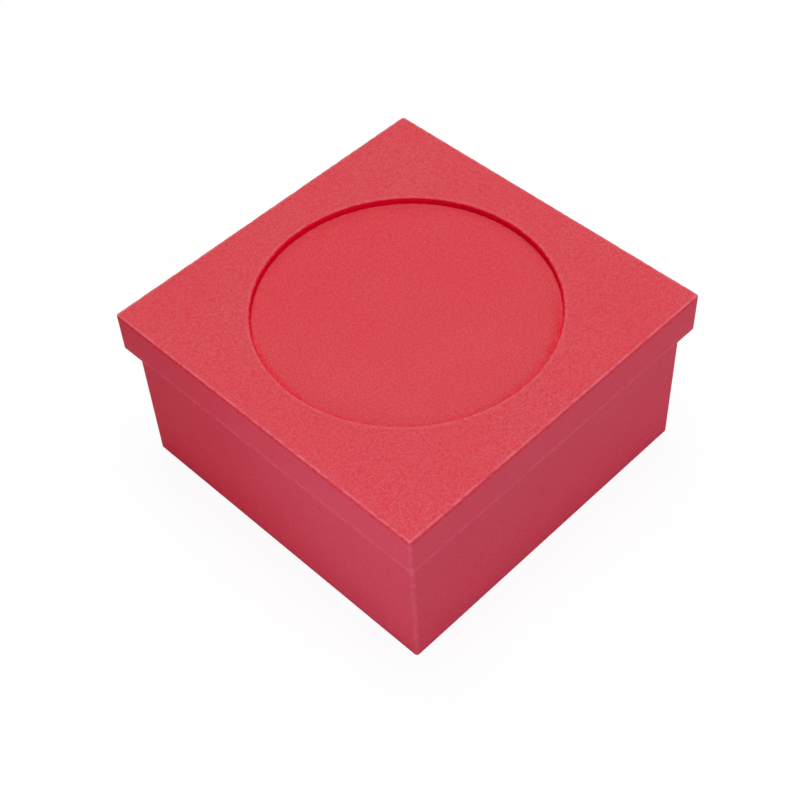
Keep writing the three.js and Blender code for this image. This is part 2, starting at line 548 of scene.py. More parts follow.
def sanded(radius, place, sizes):
    """An edge's radius at a place, as a hand-held sanding block leaves it."""
    stroke = Vector((place.x, place.y, 0.0)) / sizes.wander_length
    return radius * (1 + sizes.wander * noise.noise(stroke))


def settled(place):
    """Share of the front lip's painted shadow at a place along the edge of the recess."""
    return min(1.0, max(0.0, LIP_SHADOW_SPREAD * place.normalized().dot(LIP_SHADOW_TOWARDS)))


def lip_side_share(place):
    """Share of the lip's painted shade at a place: most where the line of sight runs past the wall
    edge-on.
    """
    return abs(place.normalized().dot(ACROSS_SIGHT_LINE))


# Building boards

def new_board():
    """An empty board mesh that can note how worn each point is."""
    bm = bmesh.new()
    bm.verts.layers.float.new("worn")
    return bm


def add_row(bm, points, wear):
    """Adds a row of points to a board, each with its wear."""
    layer = bm.verts.layers.float["worn"]
    verts = []
    for point, worn in zip(points, wear):
        vert = bm.verts.new(point)
        vert[layer] = worn
        verts.append(vert)
    return verts


def flat_row(bm, loop, height):
    """Adds an outline at a height."""
    return add_row(bm, [p.place.to_3d() + Vector((0, 0, height)) for p in loop], [p.worn for p in loop])


def sanded_row(bm, loop, level, radius, sizes):
    """Adds an outline at a level of a hand-sanded edge."""
    points = []
    for point in loop:
        place = point.place - point.facing * (level.inset * sanded(radius, point.place, sizes))
        points.append(Vector((place.x, place.y, level.height)))
    return add_row(bm, points, [level.worn + p.worn for p in loop])


def skin(bm, rows, closed):
    """Joins each row to the next with faces; where two rows share a point the face is a triangle."""
    for first, second in zip(rows, rows[1:]):
        count = len(first)
        for index in range(count if closed else count - 1):
            after = (index + 1) % count
            corners = dict.fromkeys((first[index], first[after], second[after], second[index]))
            if len(corners) > 2:
                bm.faces.new(tuple(corners))


def close_disc(bm, ring):
    """Closes a ring with a fan of triangles round its middle, as worn there as round the ring."""
    layer = bm.verts.layers.float["worn"]
    middle = bm.verts.new(sum((v.co for v in ring), Vector()) / len(ring))
    middle[layer] = sum(v[layer] for v in ring) / len(ring)
    for index, vert in enumerate(ring):
        bm.faces.new((vert, ring[(index + 1) % len(ring)], middle))


def pin_nodes(body):
    """The frame's pins on a body."""
    names = frame["record"]["behaviour"]["bodies"][body]
    return [frame["nodes"][name] for name in names if "_pin_" in name]


def drill_pin_holes(board, node, body):
    """Cuts the holes of the pins that enter a board."""
    low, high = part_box(node)
    bm = bmesh.new()
    for pin in pin_nodes(body):
        pin_low, pin_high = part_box(pin.name)
        if all(pin_low[axis] < high[axis] and pin_high[axis] > low[axis] for axis in range(3)):
            shank = bmesh.ops.create_cube(bm, size=1.0)["verts"]
            bmesh.ops.scale(bm, vec=pin_high - pin_low, verts=shank)
            bmesh.ops.translate(bm, vec=(pin_low + pin_high) / 2, verts=shank)
    if bm.verts:
        mesh = bpy.data.meshes.new("pin_shanks")
        bm.to_mesh(mesh)
        shanks = bpy.data.objects.new("pin_shanks", mesh)
        bpy.context.scene.collection.objects.link(shanks)
        holes = board.modifiers.new("Pin holes", "BOOLEAN")
        holes.object = shanks
        holes.solver = "MANIFOLD"
        graph = bpy.context.evaluated_depsgraph_get()
        board_with_holes = bpy.data.meshes.new_from_object(board.evaluated_get(graph))
        board.modifiers.remove(holes)
        board.data = board_with_holes
        bpy.data.objects.remove(shanks)
        bpy.data.meshes.remove(mesh)
    bm.free()


def finish_board(bm, node, body, is_bare, is_cut=None):
    """Turns a board mesh into the piece that stands for its node, with pin holes and smooth edges.

    Two tests tell from a face's middle and normal whether it is bare board or a cut edge.
    """
    bmesh.ops.recalc_face_normals(bm, faces=bm.faces)
    for edge in bm.edges:
        edge.smooth = edge.calc_face_angle(0.0) < SHARP_ANGLE
    for face in bm.faces:
        face.smooth = True
        centre = face.calc_center_median()
        face.material_index = BARE if is_bare(centre, face.normal) else PAINTED
        if is_cut and is_cut(centre, face.normal):
            face.material_index = CUT_EDGE
    mesh = bpy.data.meshes.new(node)
    bm.to_mesh(mesh)
    bm.free()
    for material in board_materials():
        mesh.materials.append(material)
    board = bpy.data.objects.new(f"painted_{node}", mesh)
    bpy.context.scene.collection.objects.link(board)
    drill_pin_holes(board, node, body)
    shading = board.modifiers.new("Flat faces", "WEIGHTED_NORMAL")
    shading.keep_sharp = True
    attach(board, body)
    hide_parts(node)


def upright_board(node, side, cut):
    """Builds one board of a frame: full width at the front and back, and between those at the sides."""
    scene = bpy.context.scene
    sizes = scene.box_sizes
    along, out = SIDES[side]
    full_width = side in ("front", "back")
    plan = full_width_plan(cut, scene.box_finish.corner_rub_and_highlight) if full_width else between_plan(cut)
    outer, inner = (turned(outline, along, out) for outline in plan)
    bm = new_board()
    outer_rows = []
    inner_rows = []
    for level in cut.levels:
        outer_row = sanded_row(bm, outer, level, cut.ease, sizes)
        # Sanding shortens the outer face at an eased level, so the inner face is drawn in to match
        drawn_in = outer_row[0].co.xy.dot(along) / outer[0].place.dot(along)
        points = []
        for point in inner:
            distance = point.place.dot(along)
            clear = min(1.0, max(0.0, (cut.joint - abs(distance)) / INNER_FADE))
            place = point.place - point.facing * (level.inset * sizes.inner_ease * clear)
            place += along * (distance * (drawn_in - 1))
            points.append(Vector((place.x, place.y, level.height)))
        if full_width:
            between = add_row(bm, points[1:-1], [level.worn] * len(points))
            inner_row = [outer_row[0], *between, outer_row[-1]]
        else:
            inner_row = add_row(bm, points, [level.worn] * len(points))
        outer_rows.append(outer_row)
        inner_rows.append(inner_row)
    skin(bm, outer_rows, closed=False)
    skin(bm, inner_rows, closed=False)
    for end in (0, -1):
        skin(bm, [outer_rows[end], inner_rows[end]], closed=False)
        if not full_width:
            skin(bm, [[r[end] for r in outer_rows], [r[end] for r in inner_rows]], closed=False)

    def in_joint(centre, normal):
        """Whether a face is glued to a panel, or to the next board at a corner."""
        glued = normal.z * cut.glued_side > SQUARE_ON
        if full_width:
            lapped = normal.xy.dot(out) < -SQUARE_ON and abs(centre.xy.dot(along)) > cut.joint
        else:
            lapped = abs(normal.xy.dot(along)) > SQUARE_ON
        return glued or lapped

    finish_board(bm, node, cut.body, in_joint)


# Materials

def add_node(tree, kind, inputs=None, **settings):
    """Adds a node, applies its settings, and sets or links its inputs.

    Inputs go by name, or by number where a node's names repeat.
    """
    node = tree.nodes.new(kind)
    for name, value in settings.items():
        setattr(node, name, value)
    for name, value in (inputs or {}).items():
        if isinstance(value, bpy.types.NodeSocket):
            tree.links.new(value, node.inputs[name])
        else:
            node.inputs[name].default_value = value
    return node


def new_material(name):
    """A material with an empty node tree, and the tree."""
    material = bpy.data.materials.new(name)
    material.use_nodes = True
    material.node_tree.nodes.clear()
    return material, material.node_tree


def rgba(colour):
    """A colour with full alpha."""
    return (*colour, 1.0)


def rolled_acrylic(finish):
    """Matte acrylic wall paint, foam-rolled on sanded fibreboard.

    It gives the eye a flat, even red with a fine stipple, no gloss, edges rubbed slightly pale with a
    painted highlight, and a deeper red where the paint lies thick, which also holds painted shade at
    the walls' foot, on the lip and towards the back of the left side, and the front lip's painted
    shadow.
    """
    material, tree = new_material("matte_rolled_acrylic")
    place = add_node(tree, "ShaderNodeTexCoord").outputs["Object"]
    normal = add_node(tree, "ShaderNodeNewGeometry").outputs["Normal"]
    position = add_node(tree, "ShaderNodeSeparateXYZ", {0: place})
    facing = add_node(tree, "ShaderNodeSeparateXYZ", {0: normal})
    worn = add_node(tree, "ShaderNodeAttribute", attribute_name="worn").outputs["Fac"]

    # Stipple, which levels out on upright faces, and the broad clouds of uneven rolling
    stipple = add_node(tree, "ShaderNodeTexNoise", {
        "Vector": place, "Scale": 1 / STIPPLE, "Detail": 2.0, "Roughness": 0.5})
    dabs = add_node(tree, "ShaderNodeMapRange", {
        "Value": stipple.outputs[0], "From Min": STIPPLE_RANGE[0], "From Max": STIPPLE_RANGE[1]})
    upward = add_node(tree, "ShaderNodeMath", {0: facing.outputs["Z"]}, operation="ABSOLUTE")
    depth = add_node(tree, "ShaderNodeMapRange", {
        "Value": upward.outputs[0], "From Min": UP_FACING[0], "From Max": UP_FACING[1],
        "To Min": finish.upright_stipple})
    peaks = add_node(tree, "ShaderNodeMix", {
        FACTOR: depth.outputs[0], FIRST: 0.5, SECOND: dabs.outputs[0]})
    mottled = add_node(tree, "ShaderNodeMix", {
        FACTOR: peaks.outputs[MIXED], FIRST_COLOUR: rgba(finish.paint_hollow),
        SECOND_COLOUR: rgba(finish.paint)}, data_type="RGBA")
    cloud = add_node(tree, "ShaderNodeTexNoise", {
        "Vector": place, "Scale": 1 / CLOUD, "Detail": 2.0, "Roughness": 0.5})
    clouds = add_node(tree, "ShaderNodeMapRange", {
        "Value": cloud.outputs[0], "From Min": NOISE_RANGE[0], "From Max": NOISE_RANGE[1],
        "To Max": CLOUD_DEPTH})
    clouded = add_node(tree, "ShaderNodeMix", {
        FACTOR: clouds.outputs[0], FIRST_COLOUR: mottled.outputs[MIXED_COLOUR],
        SECOND_COLOUR: rgba(finish.paint_hollow)}, data_type="RGBA")

    # Deeper red, ragged: gathered paint, and painted shade at the walls' foot, on the lip, in the nicks
    # and in the front lip's shadow; and an even painted shade towards the back of the left side
    gathered = add_node(tree, "ShaderNodeMapRange", {"Value": worn, "From Min": 0.0, "From Max": -1.0})
    chip = add_node(tree, "ShaderNodeTexNoise", {
        "Vector": place, "Scale": 1 / CHIP, "Detail": 2.0, "Roughness": 0.5})
    ragged = add_node(tree, "ShaderNodeMapRange", {
        "Value": chip.outputs[0], "From Min": CRISP_RANGE[0], "From Max": CRISP_RANGE[1],
        "To Min": GATHER_SPREAD[0], "To Max": GATHER_SPREAD[1]})
    dabbed = add_node(tree, "ShaderNodeMath", {
        0: gathered.outputs[0], 1: ragged.outputs[0]}, operation="MULTIPLY")
    on_left = add_node(tree, "ShaderNodeMapRange", {
        "Value": facing.outputs["X"], "From Min": LEFT_SHADE_FACING[0], "From Max": LEFT_SHADE_FACING[1],
        "To Max": finish.left_back_shade})
    to_back = add_node(tree, "ShaderNodeMapRange", {
        "Value": position.outputs["Y"], "From Min": LEFT_SHADE_SPAN[0], "From Max": LEFT_SHADE_SPAN[1]},
        interpolation_type="SMOOTHSTEP")
    thick = add_node(tree, "ShaderNodeMath", {
        0: on_left.outputs[0], 1: to_back.outputs[0], 2: dabbed.outputs[0]},
        operation="MULTIPLY_ADD", use_clamp=True)
    deepened = add_node(tree, "ShaderNodeMix", {
        FACTOR: thick.outputs[0], FIRST_COLOUR: clouded.outputs[MIXED_COLOUR],
        SECOND_COLOUR: rgba(finish.paint_gathered_and_shade)}, data_type="RGBA")

    # Paint drawn pale in patches: rubbed wear, and a painted highlight along the lid's edges and the
    # upright edges
    rubbed = add_node(tree, "ShaderNodeMapRange", {"Value": worn, "From Min": 0.0, "From Max": 1.0})
    patch = add_node(tree, "ShaderNodeTexNoise", {
        "Vector": place, "Scale": 1 / RUB_PATCH, "Detail": 2.0, "Roughness": 0.6})
    patches = add_node(tree, "ShaderNodeMapRange", {
        "Value": patch.outputs[0], "From Min": CRISP_RANGE[0], "From Max": CRISP_RANGE[1],
        "To Min": RUB_SPREAD[0], "To Max": RUB_SPREAD[1]})
    rub = add_node(tree, "ShaderNodeMath", {
        0: rubbed.outputs[0], 1: patches.outputs[0]}, operation="MULTIPLY")
    coloured = add_node(tree, "ShaderNodeMix", {
        FACTOR: rub.outputs[0], FIRST_COLOUR: deepened.outputs[MIXED_COLOUR],
        SECOND_COLOUR: rgba(finish.paint_rubbed_and_highlight)}, data_type="RGBA")

    # The hollows of the stipple are rougher than its peaks
    roughness = add_node(tree, "ShaderNodeMapRange", {
        "Value": stipple.outputs[0], "From Min": NOISE_RANGE[0], "From Max": NOISE_RANGE[1],
        "To Min": PAINT_ROUGHNESS[0], "To Max": PAINT_ROUGHNESS[1]})
    bump = add_node(tree, "ShaderNodeBump", {
        "Height": stipple.outputs[0], "Strength": 0.25, "Distance": 0.1 * MM})
    shader = add_node(tree, "ShaderNodeBsdfPrincipled", {
        "Base Color": coloured.outputs[MIXED_COLOUR], "Roughness": roughness.outputs[0],
        "Normal": bump.outputs[0], "IOR": 1.47, "Specular IOR Level": 0.09})
    add_node(tree, "ShaderNodeOutputMaterial", {"Surface": shader.outputs[0]})
    return material


def soaked_acrylic_and_shade(finish):
    """The same paint on the cut edge of the board, where the scorched open fibres drink it in.

    It gives the eye a deep, dull red that also holds painted shade, darker and ragged towards the foot
    of the cut, where painted shade adds to the scorch.
    """
    material, tree = new_material("acrylic_soaked_in_cut_edge")
    place = add_node(tree, "ShaderNodeTexCoord").outputs["Object"]
    position = add_node(tree, "ShaderNodeSeparateXYZ", {0: place})
    streak = add_node(tree, "ShaderNodeTexNoise", {
        "Vector": place, "Scale": 1 / FIBRE, "Detail": 3.0, "Roughness": 0.6})
    chip = add_node(tree, "ShaderNodeTexNoise", {
        "Vector": place, "Scale": 1 / CHIP, "Detail": 3.0, "Roughness": 0.6})
    ragged = add_node(tree, "ShaderNodeMapRange", {
        "Value": chip.outputs[0], "From Min": NOISE_RANGE[0], "From Max": NOISE_RANGE[1],
        "To Min": -FOOT_SHADE_WANDER, "To Max": FOOT_SHADE_WANDER})
    reach = add_node(tree, "ShaderNodeMath", {
        0: position.outputs["Z"], 1: ragged.outputs[0]}, operation="ADD")
    clear = add_node(tree, "ShaderNodeMapRange", {
        "Value": reach.outputs[0],
        "From Min": RECESS_FLOOR + FOOT_SHADE_BAND[0], "From Max": RECESS_FLOOR + FOOT_SHADE_BAND[1]})
    coloured = add_node(tree, "ShaderNodeMix", {
        FACTOR: clear.outputs[0], FIRST_COLOUR: rgba(finish.paint_scorched_and_shade),
        SECOND_COLOUR: rgba(finish.paint_soaked_and_shade)}, data_type="RGBA")
    bump = add_node(tree, "ShaderNodeBump", {
        "Height": streak.outputs[0], "Strength": 0.4, "Distance": 0.15 * MM})
    shader = add_node(tree, "ShaderNodeBsdfPrincipled", {
        "Base Color": coloured.outputs[MIXED_COLOUR], "Roughness": 0.85, "Normal": bump.outputs[0],
        "IOR": 1.47, "Specular IOR Level": 0.05})
    add_node(tree, "ShaderNodeOutputMaterial", {"Surface": shader.outputs[0]})
    return material


def bare_fibreboard(finish):
    """Medium density fibreboard as the saw leaves it, in the glued joints.

    It gives the eye a soft brown felt of short fibres.
    """
    material, tree = new_material("bare_fibreboard")
    place = add_node(tree, "ShaderNodeTexCoord").outputs["Object"]
    felt = add_node(tree, "ShaderNodeTexNoise", {
        "Vector": place, "Scale": 1 / FIBRE, "Detail": 4.0, "Roughness": 0.65})
    amount = add_node(tree, "ShaderNodeMapRange", {
        "Value": felt.outputs[0], "From Min": FELT_RANGE[0], "From Max": FELT_RANGE[1]})
    coloured = add_node(tree, "ShaderNodeMix", {
        FACTOR: amount.outputs[0], FIRST_COLOUR: rgba(finish.board_fibre),
        SECOND_COLOUR: rgba(finish.board)}, data_type="RGBA")
    bump = add_node(tree, "ShaderNodeBump", {
        "Height": felt.outputs[0], "Strength": 0.4, "Distance": 0.1 * MM})
    shader = add_node(tree, "ShaderNodeBsdfPrincipled", {
        "Base Color": coloured.outputs[MIXED_COLOUR], "Roughness": 0.9, "Normal": bump.outputs[0],
        "IOR": 1.5, "Specular IOR Level": 0.2})
    add_node(tree, "ShaderNodeOutputMaterial", {"Surface": shader.outputs[0]})
    return material


def drawn_wire(finish):
    """Bright drawn steel wire, rolled square for pins.

    It gives the eye a grey metal with faint lines along the draw: the pattern is laid in each pin's own
    box, from end to end, so it is drawn out along the pin.
    """
    material, tree = new_material("drawn_steel_wire")
    place = add_node(tree, "ShaderNodeTexCoord").outputs["Generated"]
    line = add_node(tree, "ShaderNodeTexNoise", {
        "Vector": place, "Scale": PIN_WIDTH / WIRE_LINE, "Detail": 2.0, "Roughness": 0.5})
    roughness = add_node(tree, "ShaderNodeMapRange", {
        "Value": line.outputs[0], "From Min": NOISE_RANGE[0], "From Max": NOISE_RANGE[1],
        "To Min": WIRE_ROUGHNESS[0], "To Max": WIRE_ROUGHNESS[1]})
    shader = add_node(tree, "ShaderNodeBsdfPrincipled", {
        "Base Color": rgba(finish.pin), "Metallic": 1.0, "Roughness": roughness.outputs[0]})
    add_node(tree, "ShaderNodeOutputMaterial", {"Surface": shader.outputs[0]})
    return material


def board_materials():
    """The finishes on a board, in the order of its material slots, made once."""
    finish = bpy.context.scene.box_finish
    makers = {
        "bare_fibreboard": bare_fibreboard,
        "matte_rolled_acrylic": rolled_acrylic,
        "acrylic_soaked_in_cut_edge": soaked_acrylic_and_shade,
    }
    return [bpy.data.materials.get(name) or make(finish) for name, make in makers.items()]


# Pieces

class MakeBasePanel(bpy.types.Operator):
    """Builds the base panel, eased round its lower edge"""

    bl_idname = "keepsake_box.base_panel"
    bl_label = "Base panel"

    def execute(self, context):
        sizes = context.scene.box_sizes
        finish = context.scene.box_finish
        outline = square_loop(BOX_HALF, sizes.box_corner, finish.corner_rub_and_highlight)
        inside = square_loop(BOX_JOINT, INNER_CORNER)
        rings = [circle_loop(BOX_JOINT * share, outline) for share in DISC_SHARES]
        bm = new_board()
        # The base's sides take the same painted shade as the walls' foot
        thick = finish.wall_foot_shade
        lower_edge = eased_levels(
            0.0, sizes.box_ease, upwards=False, wear=(-thick, finish.base_rub), darkest=thick)
        levels = [
            Level(BASE_TOP, 0.0, -thick),
            Level(sizes.box_ease + SUPPORT, 0.0, -thick),
            *lower_edge,
        ]
        rows = [flat_row(bm, ring, BASE_TOP) for ring in reversed(rings)]
        rows.append(flat_row(bm, inside, BASE_TOP))
        rows += [sanded_row(bm, outline, level, sizes.box_ease, sizes) for level in levels]
        rows.append(flat_row(bm, square_loop(BOX_HALF - 2 * sizes.box_ease, sizes.box_corner / 2), 0.0))
        rows += [flat_row(bm, ring, 0.0) for ring in rings]
        skin(bm, rows, closed=True)
        close_disc(bm, rows[0])
        close_disc(bm, rows[-1])

        def under_walls(centre, normal):
            """Whether a wall is glued on a face."""
            return normal.z > SQUARE_ON and max(abs(centre.x), abs(centre.y)) > BOX_JOINT

        finish_board(bm, "base_panel", "box", under_walls)
        return {"FINISHED"}


class MakeWalls(bpy.types.Operator):
    """Builds the four walls of the box"""

    bl_idname = "keepsake_box.walls"
    bl_label = "Walls"

    def execute(self, context):
        sizes = context.scene.box_sizes
        finish = context.scene.box_finish
        levels = [
            # Painted shade at the walls' foot, fading up the wall
            Level(BASE_TOP, 0.0, -finish.wall_foot_shade),
            Level(BASE_TOP + WALL_FADE, 0.0, 0.0),
            Level(BOX_TOP - sizes.box_ease - SUPPORT, 0.0, 0.0),
            *eased_levels(BOX_TOP, sizes.box_ease, upwards=True, wear=(0.0, finish.wall_rub)),
        ]
        cut = BoardFrame(
            body="box", slot="box_paint", half=BOX_HALF, joint=BOX_JOINT,
            corner=sizes.box_corner, ease=sizes.box_ease, levels=levels, glued_side=-1)
        for side in SIDES:
            upright_board(f"{side}_wall", side, cut)
        return {"FINISHED"}


class MakeRims(bpy.types.Operator):
    """Builds the four strips of the lid's rim"""

    bl_idname = "keepsake_box.rims"
    bl_label = "Lid rim"

    def execute(self, context):
        sizes = context.scene.box_sizes
        # Rubbed paint along the rim's lower edge, with a painted highlight
        rub = context.scene.box_finish.rim_rub_and_highlight
        lower_edge = eased_levels(
            RIM_LOW, sizes.lid_ease, upwards=False, wear=(rub, -rub), darkest=rub)
        levels = [
            *reversed(lower_edge),
            Level(RIM_LOW + RIM_BAND[0], 0.0, rub),
            Level(RIM_LOW + RIM_BAND[1], 0.0, 0.0),
            Level(RIM_TOP, 0.0, 0.0),
        ]
        cut = BoardFrame(
            body="lid", slot="lid_paint", half=LID_HALF, joint=LID_JOINT,
            corner=sizes.lid_corner, ease=sizes.lid_ease, levels=levels, glued_side=1)
        for side in SIDES:
            upright_board(f"lid_rim_{side}", side, cut)
        return {"FINISHED"}


class MakeLidPanel(bpy.types.Operator):
    """Builds the lid panel, whose middle is the floor of the recess"""

    bl_idname = "keepsake_box.lid_panel"
    bl_label = "Lid panel"

    def execute(self, context):
        sizes = context.scene.box_sizes
        finish = context.scene.box_finish
        outline = square_loop(LID_HALF, sizes.lid_corner, finish.corner_rub_and_highlight)
        inside = square_loop(LID_JOINT, INNER_CORNER)
        foot = circle_loop(RECESS_RADIUS, outline, -finish.bead_gather)
        bead = circle_loop(RECESS_RADIUS - FOOT_BEAD, outline)
        # Band of painted shadow that the front lip casts on the recess floor, wider at the front
        pool = circle_loop(RECESS_RADIUS - LIP_SHADOW_BAND[0], outline)
        shadow_edge = moved(circle_loop(RECESS_RADIUS - LIP_SHADOW_BAND[1], outline), LIP_SHADOW_SHIFT)
        rings = [circle_loop(RECESS_RADIUS * share, outline) for share in DISC_SHARES]
        bm = new_board()
        rows = [self.floor_row(bm, ring, finish, 0.0) for ring in (*reversed(rings), shadow_edge)]
        rows += [self.floor_row(bm, ring, finish, finish.front_lip_shadow) for ring in (pool, bead)]
        rows += [flat_row(bm, foot, RECESS_FLOOR), flat_row(bm, outline, RECESS_FLOOR)]
        rows += [flat_row(bm, outline, RIM_TOP), flat_row(bm, inside, RIM_TOP)]
        rows += [flat_row(bm, ring, RIM_TOP) for ring in rings]
        skin(bm, rows, closed=True)
        close_disc(bm, rows[0])
        close_disc(bm, rows[-1])

        def in_joint(centre, normal):
            """Whether a face is glued to the face board or to the rim."""
            under_face_board = normal.z > SQUARE_ON and centre.xy.length > RECESS_RADIUS
            over_rim = normal.z < -SQUARE_ON and max(abs(centre.x), abs(centre.y)) > LID_JOINT
            return under_face_board or over_rim

        finish_board(bm, "lid_panel", "lid", in_joint)
        return {"FINISHED"}

    def floor_row(self, bm, ring, finish, shadowed):
        """Adds a ring of the recess floor, deeper red towards the back and darker in the front lip's
        painted shadow.
        """
        points = []
        wear = []
        for point in ring:
            # Share of the way from the front to the back of the recess, towards which the floor is
            # drawn deeper red
            run = (1 + point.place.dot(DEEPENS_TOWARDS) / RECESS_RADIUS) / 2
            points.append(point.place.to_3d() + Vector((0, 0, RECESS_FLOOR)))
            wear.append(-finish.floor_deepening * run - shadowed * settled(point.place))
        return add_row(bm, points, wear)


class MakeFaceBoard(bpy.types.Operator):
    """Builds the lid's face board with its round window"""

    bl_idname = "keepsake_box.face_board"
    bl_label = "Lid face board"

    def execute(self, context):
        sizes = context.scene.box_sizes
        finish = context.scene.box_finish
        outline = square_loop(LID_HALF, sizes.lid_corner, finish.corner_rub_and_highlight)
        flat = square_loop(LID_HALF - sizes.lid_ease - RUBBED_BAND, sizes.lid_corner / 2)
        lip = circle_loop(RECESS_RADIUS, outline)
        lip_pale = circle_loop(RECESS_RADIUS + sizes.lip_ease + LIP_BAND[0], outline, finish.lip_rub)
        lip_flat = circle_loop(RECESS_RADIUS + sizes.lip_ease + LIP_BAND[1], outline)
        # Top edge: rubbed paint with a painted highlight on the round, and gathered paint below it
        edge_wear = (-finish.top_rub_and_highlight, finish.top_rub_and_highlight)
        edge_levels = eased_levels(
            LID_TOP, sizes.lid_ease, upwards=True, wear=edge_wear, darkest=finish.edge_gather)
        lip_levels = eased_levels(LID_TOP, sizes.lip_ease, upwards=True, wear=LIP_WEAR, darkest=1.0)
        bm = new_board()
        rows = [flat_row(bm, outline, RECESS_FLOOR)]
        rows.append(flat_row(bm, outline, LID_TOP - sizes.lid_ease - GATHERED_BAND))
        rows += [self.edge_row(bm, outline, level, sizes, finish) for level in edge_levels]
        rows += [flat_row(bm, between_loops(flat, lip_flat, share), LID_TOP) for share in TOP_SHARES]
        rows.append(flat_row(bm, lip_pale, LID_TOP))
        rows += [self.lip_row(bm, lip, level, sizes, finish) for level in reversed(lip_levels)]
        rows.append(flat_row(bm, lip, RECESS_FLOOR))
        skin(bm, [*rows, rows[0]], closed=True)

        def glued(centre, normal):
            """Whether a face is glued on the lid panel."""
            return normal.z < -SQUARE_ON

        def sawn(centre, normal):
            """Whether a face belongs to the cut edge of the window."""
            return abs(normal.z) < SIDEWAYS and centre.xy.length < RECESS_RADIUS + sizes.lip_ease

        finish_board(bm, "lid_face_board", "lid", glued, sawn)
        return {"FINISHED"}

    def edge_row(self, bm, outline, level, sizes, finish):
        """Adds the board's outline at a level of its sanded edge, with nicks that paint gathers in.

        The nicks are deepest halfway round the edge, and fade out at the faces either side; the paint
        in them is drawn deeper red, as gathered paint and as painted shade.
        """
        halfway = 4 * level.inset * (1 - level.inset)
        points = []
        wear = []
        for point in outline:
            nick = halfway * max(0.0, noise.noise(point.place.to_3d() / NICK_LENGTH))
            depth = sizes.edge_nick * nick
            radius = sanded(sizes.lid_ease, point.place, sizes)
            place = point.place - point.facing * (level.inset * radius + depth)
            points.append(Vector((place.x, place.y, level.height - depth)))
            wear.append(max(-1.0, level.worn + point.worn - finish.nick_gather_and_shade * nick))
        return add_row(bm, points, wear)

    def lip_row(self, bm, lip, level, sizes, finish):
        """Adds the lip's outline at a level of its round, moved where the cutter tore fibres out.

        The tears are deepest at the top of the round, and on the right.
        """
        rise = 1 - (LID_TOP - level.height) / sizes.lip_ease
        # Painted shade on the lip where the recess wall is seen edge-on
        wear = [max(-1.0, level.worn - finish.lip_side_shade * lip_side_share(p.place)) for p in lip]
        points = []
        for point in lip:
            ripple = noise.noise(point.place.to_3d() / TEAR_LENGTH)
            torn = LEAST_TEAR + (1 - LEAST_TEAR) * max(0.0, point.place.normalized().x)
            out = level.inset * sizes.lip_ease + sizes.lip_tear * torn * rise * ripple
            place = point.place - point.facing * out
            points.append(Vector((place.x, place.y, level.height)))
        return add_row(bm, points, wear)


class DressPins(bpy.types.Operator):
    """Gives the frame's micro pins their drawn steel"""

    bl_idname = "keepsake_box.pins"
    bl_label = "Micro pins"

    def execute(self, context):
        steel = drawn_wire(context.scene.box_finish)
        for pin in [*pin_nodes("box"), *pin_nodes("lid")]:
            for material_slot in pin.material_slots:
                material_slot.material = steel
        return {"FINISHED"}


